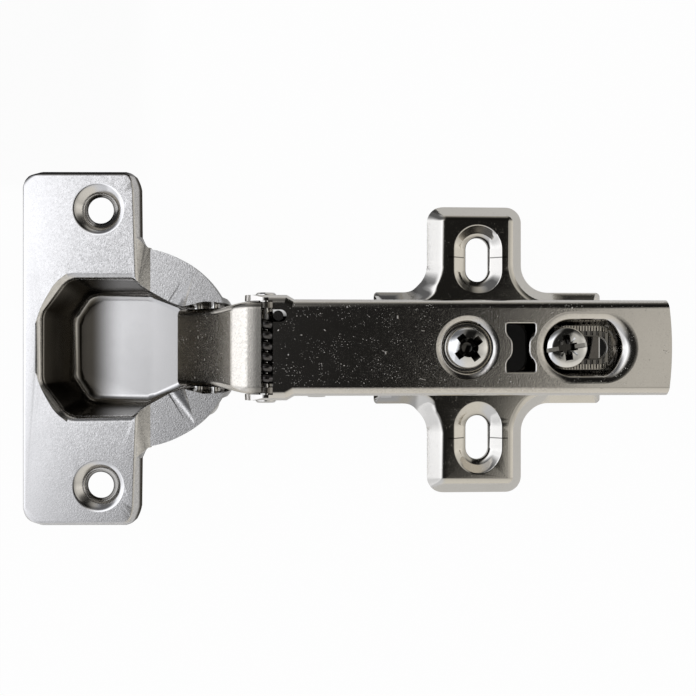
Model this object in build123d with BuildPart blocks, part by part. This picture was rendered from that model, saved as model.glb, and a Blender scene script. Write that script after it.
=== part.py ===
from math import asin, atan2, cos, degrees, hypot, pi, radians, sin, tan
import os

from build123d import *

os.makedirs("parts", exist_ok=True)

# Concealed cabinet hinge, fully open: a 35 mm cup for the door, two links, a long arm and a
# cross mounting plate. Millimetres. The origin lies midway between the plate's two screw slots,
# on the cabinet's side panel. X runs along the arm into the cabinet, Y across, Z off the panel.
# Places in the cup are given as u (towards the arm), y (across) and w (out of the door's face),
# from the middle of the 35 mm bore. The cup leans back a little past square when it is open.

# Sheet, wire and fits
cup_sheet = 1.0
link_sheet = 1.0
strip_sheet = 1.3
arm_sheet = 1.0
plate_sheet = 1.4
slip = 0.05            # radial gap of a pin in its eye
side_play = 0.2        # gap between sheets that slide past each other
shoulder_play = 0.1    # gap under a screw head and at each side of a collar

# The four pivots of the linkage and the bore, in the side view
bore_x = -61.0
bore_z = 4.5
open_lean = 3.0        # degrees past square
front_pivot_x = -38.1
front_pivot_z = 8.8
rear_pivot_x = -29.3
rear_pivot_z = 4.8
outer_pin_w = -6.9
inner_pin_w = -4.15

# Cup
cup_r = 17.4
outer_pin_u = cup_r - 7.5
inner_pin_u = cup_r - 4.1
cup_depth = 12.2
flange_length = 61.2
flange_width = 20.6
flange_middle = -8.4
flange_corner = 3.5
flange_rise = 2.2
flange_round = 0.8
wing_rise = 1.1
wing_start = 2.8       # where the step from the flange down to the wings ends
step_width = 3.2
step_half = 19.2
step_corner = 0.8
rim_lean = 30.0        # slope of a turned-down rim, in degrees
skirt = 2.5
wall_lean = 4.0        # slope of the pocket's walls, in degrees
mouth_back = 14.9
mouth_back_half = 5.8
mouth_corner = 11.2
mouth_half = 11.2
mouth_front = 0.5
lip_start = 8.4
lip_shoulder = 0.9
lip_bulge = 0.9
lip_end = 0.7          # what the lips stand wider at their ends
rim_roll = 1.0         # radius of the rolled edge of the opening
floor_roll = 1.6       # radius between the pocket's walls and floor
door_screw_spacing = 48.0
door_screw_back = 6.0
door_screw_hole_r = 2.3
door_screw_head_r = 4.35
door_screw_angle = 100  # of the countersink, in degrees
door_screw_round = 0.4
exit_sill = 8.6        # depth of the wall that stays under the links
pin_r = 0.95
pin_end = 9.6

# Links
outer_half_cup = 6.9   # half width of the outer link in the cup
outer_half_arm = 7.75  # and at the arm
outer_eye_cup = 2.9
outer_eye_arm = 3.15
outer_tail_x = -54.3
outer_tail_z = -0.5
outer_nose_x = -40.6
outer_nose_r = 4.6
outer_top_lean = 5.5   # how the top behind the nose still rises, in degrees
outer_top_end_x = -38.8
outer_top_z = 13.1
outer_neck = 58.0      # direction of the neck from the cup pin, in degrees
outer_neck_reach = 5.75
outer_bend = 1.2
outer_spread_r = 8.0   # how softly its sides spread from the cup's width to the arm's
inner_half = 5.5
inner_eye_travel = 1.15
inner_eye_spare = 0.4
inner_eye_turn = -17.0

# Arm
arm_half = 8.2
arm_top_z = 12.8
arm_rear_x = 31.0
arm_rear_bulge = 0.6
arm_wall_z = 3.2
arm_wall_front_z = 1.9
arm_web_front_x = -36.8
notch_rear_x = -34.5
notch_y = 5.4
ear_r = 3.6
bend_r = 1.5
front_dish_x = -3.7
front_dish_r = 5.5
front_dish_floor_r = 4.35
front_dish_depth = 1.5
front_collar_z = 9.2
rear_dish_x = 16.9
rear_dish_length = 16.8
rear_dish_width = 11.5
rear_dish_inset = 1.9
rear_dish_depth = 3.0
dish_round = 0.8
groove_pitch = 1.05
groove_depth = 0.3
arm_slot_front_x = 11.0
arm_slot_rear_x = 21.3
window_x = 5.4
window_length = 5.4
window_width = 8.7
window_waist = 3.2
window_corner = 0.6

# Rivets, spring and screws
rivet_r = 1.25
rivet_head_r = 1.75
rivet_head = 0.45
head_gap = 0.02
wire_r = 0.85
wire_bend = 0.03       # how much the wire swells where it bends off the coil
coil_turns = 6
coil_end_y = -5.3
upright_top_z = 13.4
lever_lift = 0.3       # gap between the spring's lever and the long eye
lever_past = 0.7       # how far the lever runs past the eye's back centre
adjuster_head_r = 3.6
adjuster_head_top_z = 13.7
adjuster_head = 1.8
adjuster_r = 2.5
adjuster_tail_r = 1.3
adjuster_button_r = 1.9
adjuster_button = 0.55
adjuster_recess = 1.1
adjuster_cross_turn = 28.0
fixing_slot_turn = 6.0
fixing_head_r = 3.55
fixing_head = 2.3
fixing_chamfer = 0.8
fixing_play = 0.25     # under the head, so that the arm can tilt
fixing_r = 1.95
fixing_x = 13.6
fixing_end_z = 1.0
recess_width = 0.9
recess_depth = 1.1
foot_r = 3.5
foot_disc = 1.2
foot_hub_r = 2.0

# Mounting plate
foot_front_x = -18.8
foot_rear_x = 23.0
foot_half = 10.1
foot_corner = 0.8
wing_half = 25.7
wing_width = 16.6
wing_corner = 2.9
wing_neck = 5.0        # hollow radius where a wing meets the foot
plate_rise = 2.2
plate_rim_lean = 45.0
hat_half = 6.9
hat_front_x = -14.8
hat_rear_x = 21.0
hat_corner = 3.0
hat_top_z = 8.5
hat_lean = 6.0
plate_screw_spacing = 32.0
slot_width = 4.2
slot_length = 8.0
seat_rim = 2.2         # width of the seat round a slot
seat_ledge = 0.55      # of which flat, next to the slot
plate_round = 1.6
seat_round = 0.4
seat_floor_z = 0.9
keyhole_x = 3.4
keyhole_length = 8.0
keyhole_width = 8.2
keyhole_corner = 2.0
keyhole_slot = 4.2
keyhole_front_x = -10.8
collar_z = 5.5         # lower end of the tapped collar for the fixing screw

tilt = radians(open_lean)


def from_cup(u, w):
    """A point of the cup as x and z."""
    return (bore_x + u * cos(tilt) - w * sin(tilt), bore_z + u * sin(tilt) + w * cos(tilt))


def around(centre, radius, angle):
    """The point at an angle on a circle of the side view."""
    return (centre[0] + radius * cos(radians(angle)), centre[1] + radius * sin(radians(angle)))


def tangent(point, centre, radius, side):
    """Where a line from a point touches a circle, with side 1 above and -1 below it."""
    dx, dz = centre[0] - point[0], centre[1] - point[1]
    turn = degrees(atan2(dz, dx)) + side * degrees(asin(radius / hypot(dx, dz)))
    return around(centre, radius, turn + 90 * side)


cup_face = Plane(origin=(bore_x, 0, bore_z), x_dir=(cos(tilt), 0, sin(tilt)),
                 z_dir=(-sin(tilt), 0, cos(tilt)))
cup_side = Plane(origin=(bore_x, 0, bore_z), x_dir=(cos(tilt), 0, sin(tilt)), z_dir=(0, -1, 0))

front_pivot = (front_pivot_x, front_pivot_z)
rear_pivot = (rear_pivot_x, rear_pivot_z)
outer_pin = from_cup(outer_pin_u, outer_pin_w)
inner_pin = from_cup(inner_pin_u, inner_pin_w)
lip_half = outer_half_cup + side_play + 0.05
door_screws = [(-door_screw_back, side * door_screw_spacing / 2) for side in (-1, 1)]
ear_inner = outer_half_arm + side_play
ear_outer = ear_inner + arm_sheet


def mouth(grow, w):
    """Outline of the pocket at a height w: the back draws in with depth, the lips stay parallel."""
    out = grow - (flange_rise - w) * tan(radians(wall_lean))
    half = [
        (-mouth_back - out, mouth_back_half + 0.3 * out),
        (-mouth_corner - 0.5 * out, mouth_half + out),
        (mouth_front, mouth_half + out),
        (lip_start - 2.4 + 0.4 * grow, lip_half + lip_shoulder + grow),
        (lip_start, lip_half + grow),
        (lip_start + 3.6, lip_half + lip_bulge + grow),
        (cup_r + 1.5, lip_half + lip_end + grow),
    ]
    points = half + [(u, -y) for u, y in reversed(half)]
    radii = [3.0, 3.0, 3.0, 2.0, 1.5, 3.0, 0.2, 0.2, 3.0, 1.5, 2.0, 3.0, 3.0, 3.0]
    return points, radii


def drawn(levels):
    """A solid lofted through the pocket's outlines, each given as growth and height w."""
    with BuildPart() as made:
        for grow, w in levels:
            with BuildSketch(cup_face.offset(w)):
                with BuildLine():
                    points, radii = mouth(grow, w)
                    FilletPolyline(*points, radius=radii, close=True)
                make_face()
        loft(ruled=True)
    return made.part


def roll(radius, w, side):
    """Levels that round a corner: side 1 opens out upwards to w, side -1 closes in downwards to w."""
    return [(side * radius * (1 - cos(radians(angle))), w - side * radius * (1 - sin(radians(angle))))
            for angle in (0, 30, 60, 90)]


# Cup: flange and wings, drawn from one sheet with the pocket
outer_floor = [(cup_sheet + grow, w) for grow, w in roll(floor_roll + cup_sheet, -cup_depth, -1)]
inner_floor = roll(floor_roll, cup_sheet - cup_depth, -1)
pocket = drawn(outer_floor[::-1] + [(cup_sheet, wing_rise)])
pocket_hollow = drawn(inner_floor[::-1] + roll(rim_roll, flange_rise, 1))
with BuildPart() as bore_room:
    with BuildSketch(cup_face.offset(-cup_depth)):
        Circle(cup_r)
    extrude(amount=cup_depth + wing_rise)
with BuildPart() as bore_hollow:
    with BuildSketch(cup_face.offset(-cup_depth)):
        Circle(cup_r - cup_sheet)
    extrude(amount=cup_depth + flange_rise)


def wing_step(inset):
    """The step from the flange down to the wings, or with an inset the hollow under it."""
    edge = flange_middle + flange_width / 2
    with BuildPart() as step:
        with BuildSketch(cup_side):
            with BuildLine():
                Polyline((wing_start - step_width + inset, -inset),
                         (wing_start - step_width + inset, flange_rise - 1.2 * inset),
                         (wing_start - inset / 2, wing_rise - inset), (wing_start - inset / 2, -inset),
                         close=True)
            make_face()
        extrude(amount=step_half, both=True)
        with BuildSketch(cup_face.offset(-inset)):
            with BuildLine():
                half = [(wing_start - step_width, step_half - inset), (edge - inset, step_half - inset),
                        (edge - inset, cup_r - inset), (wing_start + 1, cup_r - inset)]
                FilletPolyline(*half, *[(u, -y) for u, y in reversed(half)],
                               radius=[0, 0, step_corner, 0, 0, step_corner, 0, 0], close=True)
            make_face()
        extrude(amount=flange_rise + inset, mode=Mode.INTERSECT)
    return step.part


with BuildPart() as hinge_cup:
    with BuildSketch(cup_face):
        with Locations((flange_middle, 0)):
            RectangleRounded(flange_width, flange_length, flange_corner)
    extrude(amount=flange_rise, taper=rim_lean)
    fillet(hinge_cup.edges().sort_by(lambda edge: cup_face.to_local_coords(edge.center()).Z)[-8:],
           flange_round)
    with BuildSketch(cup_face.offset(-skirt)):
        Circle(cup_r)
        with Locations((-cup_r, 0)):
            Rectangle(cup_r * 2, cup_r * 2, mode=Mode.SUBTRACT)
    extrude(amount=skirt + wing_rise)
    add(wing_step(0))
    # Hollow side of the flange and of the wings
    with BuildSketch(cup_face):
        with Locations((flange_middle, 0)):
            RectangleRounded(flange_width - 2 * cup_sheet, flange_length - 2 * cup_sheet,
                             flange_corner - cup_sheet)
    extrude(amount=flange_rise - cup_sheet, taper=rim_lean, mode=Mode.SUBTRACT)
    with BuildSketch(cup_face.offset(-skirt)):
        Circle(cup_r - cup_sheet)
        with Locations((-cup_r - cup_sheet, 0)):
            Rectangle(cup_r * 2, cup_r * 2, mode=Mode.SUBTRACT)
    extrude(amount=skirt + wing_rise - cup_sheet, mode=Mode.SUBTRACT)
    add(wing_step(cup_sheet), mode=Mode.SUBTRACT)
    # Dimples that seat the door screws
    with BuildSketch(cup_face):
        with Locations(*door_screws):
            Circle(door_screw_hole_r + cup_sheet)
    extrude(amount=flange_rise - cup_sheet / 2, taper=-rim_lean)
    with Locations(cup_face.offset(flange_rise)):
        with Locations(*door_screws):
            CounterSinkHole(door_screw_hole_r, door_screw_head_r, counter_sink_angle=door_screw_angle)
    fillet(hinge_cup.edges().filter_by(lambda edge: abs(edge.length - 2 * pi * door_screw_head_r) < 0.01),
           door_screw_round)
    add(pocket.intersect(bore_room.part))
    add(pocket_hollow.intersect(bore_hollow.part), mode=Mode.SUBTRACT)
    # Way out for the links, between the lips and above the sill
    with BuildSketch(cup_face.offset(-exit_sill)):
        with Locations((cup_r, 0)):
            Rectangle(cup_r * 0.45, 2 * (lip_half + lip_end))
    extrude(amount=exit_sill + flange_rise, mode=Mode.SUBTRACT)
    # Holes for the bent cup pin
    with BuildSketch(cup_side):
        with Locations((outer_pin_u, outer_pin_w), (inner_pin_u, inner_pin_w)):
            Circle(pin_r + 0.01)
    extrude(amount=pin_end, both=True, mode=Mode.SUBTRACT)
hinge_cup.part.label = "hinge_cup"
export_step(hinge_cup.part, "parts/hinge_cup.step")

# Cup pin: one wire bent to a U, whose legs are both cup pivots
bend = hypot(inner_pin[0] - outer_pin[0], inner_pin[1] - outer_pin[1]) / 2
pin_bend_y = lip_half + lip_bulge + cup_sheet + 0.05
with BuildPart() as cup_pin:
    with BuildLine() as wire:
        leg = Line((outer_pin[0], pin_end, outer_pin[1]), (outer_pin[0], -pin_bend_y, outer_pin[1]))
        middle = ((outer_pin[0] + inner_pin[0]) / 2, -pin_bend_y - bend,
                  (outer_pin[1] + inner_pin[1]) / 2)
        turn = ThreePointArc(leg @ 1, middle, (inner_pin[0], -pin_bend_y, inner_pin[1]))
        Line(turn @ 1, (inner_pin[0], pin_end, inner_pin[1]))
    with BuildSketch(Plane(origin=leg @ 0, z_dir=leg % 0)):
        Circle(pin_r)
    sweep()
cup_pin.part.label = "cup_pin"
export_step(cup_pin.part, "parts/cup_pin.step")

# Outer link: a channel whose web slopes from the cup up to a rolled nose over the front pivot
top_run = outer_top_end_x - outer_nose_x + outer_nose_r * sin(radians(outer_top_lean))
nose = (outer_nose_x, outer_top_z - top_run * tan(radians(outer_top_lean))
        - outer_nose_r * cos(radians(outer_top_lean)))
tail = (outer_tail_x, outer_tail_z)
slope_top = tangent(tail, nose, outer_nose_r, 1)
slope = degrees(atan2(slope_top[1] - tail[1], slope_top[0] - tail[0]))
neck_low = around(outer_pin, outer_eye_cup, outer_neck)
neck_high = around(outer_pin, outer_neck_reach, outer_neck)
belly = tangent(neck_high, front_pivot, outer_eye_arm, -1)
crown_turn = (slope + 180 + outer_top_lean) / 2
under = around(tail, link_sheet, slope - 90)

with BuildPart() as outer_hollow:
    with BuildSketch(Plane.XZ):
        with BuildLine():
            inner_r = outer_nose_r - link_sheet
            inner_start = around(nose, inner_r, slope + 90)
            Polyline(around(under, 6, slope + 180), inner_start)
            inner_top = around(nose, inner_r, 90 + outer_top_lean)
            ThreePointArc(inner_start, around(nose, inner_r, crown_turn), inner_top)
            Polyline(inner_top, around(inner_top, 10, outer_top_lean),
                     (front_pivot_x + 8, outer_pin[1] - 8), (tail[0] - 6, outer_pin[1] - 8),
                     around(under, 6, slope + 180))
        make_face()
    extrude(amount=outer_half_arm, both=True)
    with BuildSketch(Plane.XY.offset(outer_pin[1] - 8)):
        with BuildLine():
            cup_in, arm_in = outer_half_cup - link_sheet, outer_half_arm - link_sheet
            Polyline((tail[0] - 8, cup_in), (outer_nose_x - 5, cup_in), (outer_nose_x - 1, arm_in),
                     (front_pivot_x + 8, arm_in), (front_pivot_x + 8, -arm_in),
                     (outer_nose_x - 1, -arm_in), (outer_nose_x - 5, -cup_in),
                     (tail[0] - 8, -cup_in), close=True)
        make_face()
    extrude(amount=40, mode=Mode.INTERSECT)

with BuildPart() as outer_link:
    with BuildSketch(Plane.XZ):
        with BuildLine():
            Line(tail, slope_top)
            top_start = around(nose, outer_nose_r, 90 + outer_top_lean)
            ThreePointArc(slope_top, around(nose, outer_nose_r, crown_turn), top_start)
            Polyline(top_start, (outer_top_end_x, outer_top_z), front_pivot, belly,
                     neck_high, neck_low, outer_pin, (outer_pin[0] - outer_eye_cup, outer_pin[1]), tail)
        make_face()
        with Locations(front_pivot):
            Circle(outer_eye_arm)
        with Locations(outer_pin):
            Circle(outer_eye_cup)
    extrude(amount=outer_half_arm, both=True)
    with BuildSketch(Plane.XY.offset(outer_pin[1] - 8)):
        with BuildLine():
            half = [(tail[0] - 8, outer_half_cup), (outer_nose_x - 5, outer_half_cup),
                    (outer_nose_x - 1, outer_half_arm), (front_pivot_x + 8, outer_half_arm)]
            FilletPolyline(*half, *[(x, -y) for x, y in reversed(half)],
                           radius=[0, outer_spread_r, outer_spread_r, 0, 0, outer_spread_r, outer_spread_r, 0],
                           close=True)
        make_face()
    extrude(amount=40, mode=Mode.INTERSECT)
    # Rounded bends along both sides of the web
    web = outer_link.faces().filter_by(
        lambda face: face.normal_at(face.center()).Z > 0.3 and face.center().Z > tail[1])
    bends = [edge for face in web for edge in face.edges() if abs(edge.center().Y) > outer_half_cup - 0.5]
    fillet(ShapeList(bends), outer_bend)
    add(outer_hollow.part, mode=Mode.SUBTRACT)
    with BuildSketch(Plane.XZ):
        with Locations(outer_pin):
            Circle(pin_r + slip)
        with Locations(front_pivot):
            Circle(rivet_r + slip)
    extrude(amount=outer_half_arm + 1, both=True, mode=Mode.SUBTRACT)
outer_link.part.label = "outer_link"
export_step(outer_link.part, "parts/outer_link.step")

# Inner link: a strip rolled round the cup pin, with a long eye at the arm
inner_eye_r = pin_r + slip + strip_sheet
eye_r = rivet_r + inner_eye_spare + slip
coil_r = rivet_r + 2 * slip + wire_r
knee = (front_pivot_x - 0.3, front_pivot_z - coil_r - wire_r - side_play * 1.5)
reach = hypot(knee[0] - inner_pin[0], knee[1] - inner_pin[1])
rise = (degrees(atan2(knee[1] - inner_pin[1], knee[0] - inner_pin[0]))
        - degrees(asin(inner_eye_r / reach)))
strip_start = around(inner_pin, inner_eye_r, rise + 90)
shoulder = (knee[0] + 2.0, knee[1] + 0.6)
eye_back = around(rear_pivot, inner_eye_travel, inner_eye_turn + 180)
with BuildPart() as inner_link:
    with BuildSketch(Plane.XZ):
        with BuildLine():
            top = [strip_start, knee, shoulder, around(eye_back, eye_r + strip_sheet, 110)]
            low = [around(eye_back, eye_r + strip_sheet, 190),
                   (shoulder[0] + 0.4, shoulder[1] - strip_sheet * 1.1),
                   (knee[0] + 0.2, knee[1] - strip_sheet),
                   around(inner_pin, pin_r + slip, rise + 90)]
            Polyline(*top, rear_pivot, *low, close=True)
        make_face()
        with Locations(inner_pin):
            Circle(inner_eye_r)
        with Locations(rear_pivot):
            SlotCenterToCenter(2 * inner_eye_travel, 2 * (eye_r + strip_sheet), rotation=inner_eye_turn)
        with Locations(rear_pivot):
            SlotCenterToCenter(2 * inner_eye_travel, 2 * eye_r, rotation=inner_eye_turn,
                               mode=Mode.SUBTRACT)
        with Locations(inner_pin):
            Circle(pin_r + slip, mode=Mode.SUBTRACT)
    extrude(amount=inner_half, both=True)
inner_link.part.label = "inner_link"
export_step(inner_link.part, "parts/inner_link.step")


def arm_plan(shrink, front, rear):
    """Outline of the arm from above, with its ears set out round the outer link."""
    ear, wall = ear_outer - shrink, arm_half - shrink
    joggle = front_pivot_x + ear_r
    return [(front, ear), (joggle, ear), (joggle + 1.3, wall), (rear, wall),
            (rear, -wall), (joggle + 1.3, -wall), (joggle, -ear), (front, -ear)]


# Arm: a channel with two dishes in its web, a waisted window and ears for the links
window_side = [(window_length / 2, -window_width / 2), (window_length / 2, -window_width * 0.27),
               (window_waist / 2, -window_width * 0.13), (window_waist / 2, window_width * 0.13),
               (window_length / 2, window_width * 0.27), (window_length / 2, window_width / 2)]
with BuildPart() as arm_hollow:
    with BuildSketch(Plane.XY.offset(-1)):
        with BuildLine():
            Polyline(*arm_plan(arm_sheet, front_pivot_x - 8, arm_rear_x + 4), close=True)
        make_face()
    extrude(amount=arm_top_z - arm_sheet + 1)
    top_edges = arm_hollow.edges().group_by(Axis.Z)[-1]
    fillet(top_edges.filter_by(lambda edge: abs(edge.tangent_at(0.5).X) > 0.5), bend_r - arm_sheet)

with BuildPart() as hinge_arm:
    with BuildSketch(Plane.XY):
        with BuildLine():
            Polyline(*arm_plan(0, front_pivot_x - ear_r, arm_rear_x), close=True)
        make_face()
        with BuildLine():
            rear_edge = Line((arm_rear_x, -arm_half), (arm_rear_x, arm_half))
            ThreePointArc(rear_edge @ 0, (arm_rear_x + arm_rear_bulge, 0), rear_edge @ 1)
        make_face()
    extrude(amount=arm_top_z)
    top_edges = hinge_arm.edges().group_by(Axis.Z)[-1]
    fillet(top_edges.filter_by(lambda edge: abs(edge.tangent_at(0.5).X) > 0.5), bend_r)
    add(arm_hollow.part, mode=Mode.SUBTRACT)
    with BuildSketch(Plane.XZ):
        with BuildLine():
            ear_low = tangent((rear_pivot_x - 2.0, arm_wall_front_z), front_pivot, ear_r, 1)
            Polyline(front_pivot, (front_pivot_x + 0.6, arm_top_z), (arm_rear_x + 2, arm_top_z),
                     (arm_rear_x + 2, arm_wall_z), (foot_front_x - 1.2, arm_wall_z),
                     (foot_front_x - 3.2, arm_wall_front_z), (rear_pivot_x - 2.0, arm_wall_front_z),
                     ear_low, close=True)
        make_face()
        with Locations(front_pivot):
            Circle(ear_r)
    extrude(amount=ear_outer + 1, both=True, mode=Mode.INTERSECT)
    # No web in front of the notch edge
    with BuildSketch(Plane.XY.offset(front_pivot_z)):
        with Locations((arm_web_front_x - 5, 0)):
            Rectangle(10, 2 * ear_inner)
    extrude(amount=arm_top_z, mode=Mode.SUBTRACT)
    # Dishes drawn down into the web, and the tapped collar under the front one
    with BuildSketch(Plane.XY.offset(arm_top_z - arm_sheet / 2)):
        with Locations((front_dish_x, 0)):
            Circle(front_dish_r + arm_sheet * 0.4)
    extrude(amount=-front_dish_depth - arm_sheet / 2,
            taper=degrees(atan2(front_dish_r - front_dish_floor_r, front_dish_depth)))
    with BuildSketch(Plane.XY.offset(front_collar_z)):
        with Locations((front_dish_x, 0)):
            Circle(adjuster_r + shoulder_play + arm_sheet)
    extrude(amount=arm_top_z - front_dish_depth - front_collar_z)
    with BuildSketch(Plane.XY.offset(arm_top_z - arm_sheet / 2)):
        with Locations((rear_dish_x, 0)):
            SlotOverall(rear_dish_length + arm_sheet * 0.8, rear_dish_width + arm_sheet * 0.8)
    extrude(amount=-rear_dish_depth - arm_sheet / 2, taper=degrees(atan2(rear_dish_inset, rear_dish_depth)))
    with BuildSketch(Plane.XY.offset(arm_top_z)):
        with Locations((front_dish_x, 0)):
            Circle(front_dish_r)
    extrude(amount=-front_dish_depth, mode=Mode.SUBTRACT,
            taper=degrees(atan2(front_dish_r - front_dish_floor_r, front_dish_depth)))
    with BuildSketch(Plane.XY.offset(arm_top_z)):
        with Locations((rear_dish_x, 0)):
            SlotOverall(rear_dish_length, rear_dish_width)
    extrude(amount=-rear_dish_depth, taper=degrees(atan2(rear_dish_inset, rear_dish_depth)),
            mode=Mode.SUBTRACT)
    rims = hinge_arm.edges().filter_by(
        lambda edge: abs(edge.center().Z - arm_top_z) < 0.01 and abs(edge.center().Y) < rear_dish_width / 2 + 0.1
        and front_dish_x - front_dish_r < edge.center().X < rear_dish_x + rear_dish_length / 2 + 0.1)
    fillet(rims, dish_round)
    # Tapped hole, clamping slot and waisted window
    with BuildSketch(Plane.XY):
        with Locations((front_dish_x, 0)):
            Circle(adjuster_r + shoulder_play)
        with Locations(((arm_slot_front_x + arm_slot_rear_x) / 2, 0)):
            SlotOverall(arm_slot_rear_x - arm_slot_front_x, 2 * (fixing_r + shoulder_play))
        with BuildLine():
            half = [(window_x + side * x, side * y) for side in (-1, 1) for x, y in window_side]
            FilletPolyline(*half, radius=window_corner, close=True)
        make_face()
    extrude(amount=arm_top_z + 1, mode=Mode.SUBTRACT)
    # Grooves that grip the fixing screw's head
    floor_z = arm_top_z - rear_dish_depth
    groove_count = int((rear_dish_length - 2 * rear_dish_inset - 2) / groove_pitch)
    with BuildSketch(Plane.XZ):
        with Locations((rear_dish_x, floor_z)):
            with GridLocations(groove_pitch, 1, groove_count, 1):
                Rectangle(groove_depth * 1.4, groove_depth * 1.4, rotation=45)
    extrude(amount=rear_dish_width / 2 - rear_dish_inset - 0.3, both=True, mode=Mode.SUBTRACT)
    # Notch for the spring's upright end
    with BuildSketch(Plane.XY.offset(front_pivot_z)):
        with Locations((arm_web_front_x, notch_y)):
            SlotOverall(2 * (notch_rear_x - arm_web_front_x), 2 * (wire_r + side_play))
    extrude(amount=arm_top_z, mode=Mode.SUBTRACT)
    # Rivet holes
    with BuildSketch(Plane.XZ):
        with Locations(front_pivot, rear_pivot):
            Circle(rivet_r + 0.01)
    extrude(amount=ear_outer + 1, both=True, mode=Mode.SUBTRACT)
hinge_arm.part.label = "hinge_arm"
export_step(hinge_arm.part, "parts/hinge_arm.step")

# Front rivet, headed at both ends, and rear rivet, flush at its far end
with BuildPart() as front_rivet:
    with Locations((front_pivot_x, 0, front_pivot_z)):
        Cylinder(rivet_r, 2 * (ear_outer + head_gap), rotation=(90, 0, 0))
    for side in (-1, 1):
        with Locations((front_pivot_x, side * (ear_outer + head_gap + rivet_head / 2), front_pivot_z)):
            Cylinder(rivet_head_r, rivet_head, rotation=(90, 0, 0))
    chamfer(front_rivet.edges().group_by(Axis.Y)[0] + front_rivet.edges().group_by(Axis.Y)[-1],
            rivet_head * 0.6)
front_rivet.part.label = "front_rivet"
export_step(front_rivet.part, "parts/front_rivet.step")

with BuildPart() as rear_rivet:
    with Locations((rear_pivot_x, -head_gap / 2, rear_pivot_z)):
        Cylinder(rivet_r, 2 * arm_half + head_gap, rotation=(90, 0, 0))
    with Locations((rear_pivot_x, -arm_half - head_gap - rivet_head / 2, rear_pivot_z)):
        Cylinder(rivet_head_r, rivet_head, rotation=(90, 0, 0))
    chamfer(rear_rivet.edges().group_by(Axis.Y)[0], rivet_head * 0.6)
rear_rivet.part.label = "rear_rivet"
export_step(rear_rivet.part, "parts/rear_rivet.step")

# Closing spring: a coil round the front rivet, one end up through the arm's notch and the other
# lying on the inner link's long eye
lever_gap = hypot(eye_back[0] - front_pivot[0], eye_back[1] - front_pivot[1])
lever_reach = eye_r + strip_sheet + wire_r + lever_lift
lever_turn = (degrees(atan2(eye_back[1] - front_pivot[1], eye_back[0] - front_pivot[0]))
              + degrees(asin((lever_reach - coil_r) / lever_gap)))
coil_length = notch_y - coil_end_y
coil_pitch = coil_length / (coil_turns - (90 + lever_turn) / 360)
lever_length = (lever_gap ** 2 - (lever_reach - coil_r) ** 2) ** 0.5 + lever_past
coil_plane = Plane(origin=(front_pivot_x, notch_y, front_pivot_z), x_dir=(1, 0, 0), z_dir=(0, -1, 0))
coil = coil_plane.location * Edge.make_helix(coil_pitch, coil_length, coil_r, lefthand=True)
lever_plane = Plane(origin=coil @ 1, z_dir=(cos(radians(lever_turn)), 0, sin(radians(lever_turn))))
with BuildPart() as torsion_spring:
    with BuildSketch(Plane(origin=coil @ 0, z_dir=coil % 0)):
        Circle(wire_r)
    sweep(path=coil, is_frenet=True)
    with Locations(coil @ 0, coil @ 1):
        Sphere(wire_r + wire_bend)
    with BuildSketch(Plane.XY.offset(front_pivot_z)):
        with Locations((front_pivot_x + coil_r, notch_y)):
            Circle(wire_r)
    extrude(amount=upright_top_z - front_pivot_z)
    with BuildSketch(lever_plane):
        Circle(wire_r)
    extrude(amount=lever_length)
torsion_spring.part.label = "torsion_spring"
export_step(torsion_spring.part, "parts/torsion_spring.step")

# Adjusting screw, tapped into the arm's collar, its tail riveted under the sliding foot
disc_top_z = hat_top_z - plate_sheet - shoulder_play
disc_low_z = disc_top_z - foot_disc
hub_top_z = hat_top_z + shoulder_play
with BuildPart() as adjusting_screw:
    with Locations((front_dish_x, 0, adjuster_head_top_z)):
        Cylinder(adjuster_head_r, adjuster_head, align=(Align.CENTER, Align.CENTER, Align.MAX))
    fillet(adjusting_screw.edges().group_by(Axis.Z)[-1], adjuster_head * 0.25)
    with BuildSketch(Plane.XY.offset(hub_top_z + shoulder_play)):
        with Locations((front_dish_x, 0)):
            Circle(adjuster_r)
    extrude(amount=adjuster_head_top_z - adjuster_head - hub_top_z)
    with BuildSketch(Plane.XY.offset(disc_low_z - slip)):
        with Locations((front_dish_x, 0)):
            Circle(adjuster_tail_r)
    extrude(amount=hub_top_z + 1 - disc_low_z)
    with BuildSketch(Plane.XY.offset(disc_low_z - slip)):
        with Locations((front_dish_x, 0)):
            Circle(adjuster_button_r)
    extrude(amount=-adjuster_button)
    with BuildSketch(Plane.XY.offset(adjuster_head_top_z)):
        with Locations(Location((front_dish_x, 0), adjuster_cross_turn)):
            Rectangle(4 * adjuster_recess, recess_width)
            Rectangle(recess_width, 4 * adjuster_recess)
    extrude(amount=-recess_depth, taper=8, mode=Mode.SUBTRACT)
adjusting_screw.part.label = "adjusting_screw"
export_step(adjusting_screw.part, "parts/adjusting_screw.step")

# Foot of the adjusting screw, captive under the mounting plate's keyhole slot
with BuildPart() as screw_foot:
    with Locations((front_dish_x, 0, disc_top_z)):
        Cylinder(foot_r, foot_disc, align=(Align.CENTER, Align.CENTER, Align.MAX))
    with BuildSketch(Plane.XY.offset(disc_low_z)):
        with Locations((front_dish_x, 0)):
            Circle(foot_hub_r)
    extrude(amount=hub_top_z - disc_low_z)
    with BuildSketch(Plane.XY.offset(disc_low_z)):
        with Locations((front_dish_x, 0)):
            Circle(adjuster_tail_r + slip)
    extrude(amount=hub_top_z - disc_low_z, mode=Mode.SUBTRACT)
screw_foot.part.label = "screw_foot"
export_step(screw_foot.part, "parts/screw_foot.step")

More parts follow.
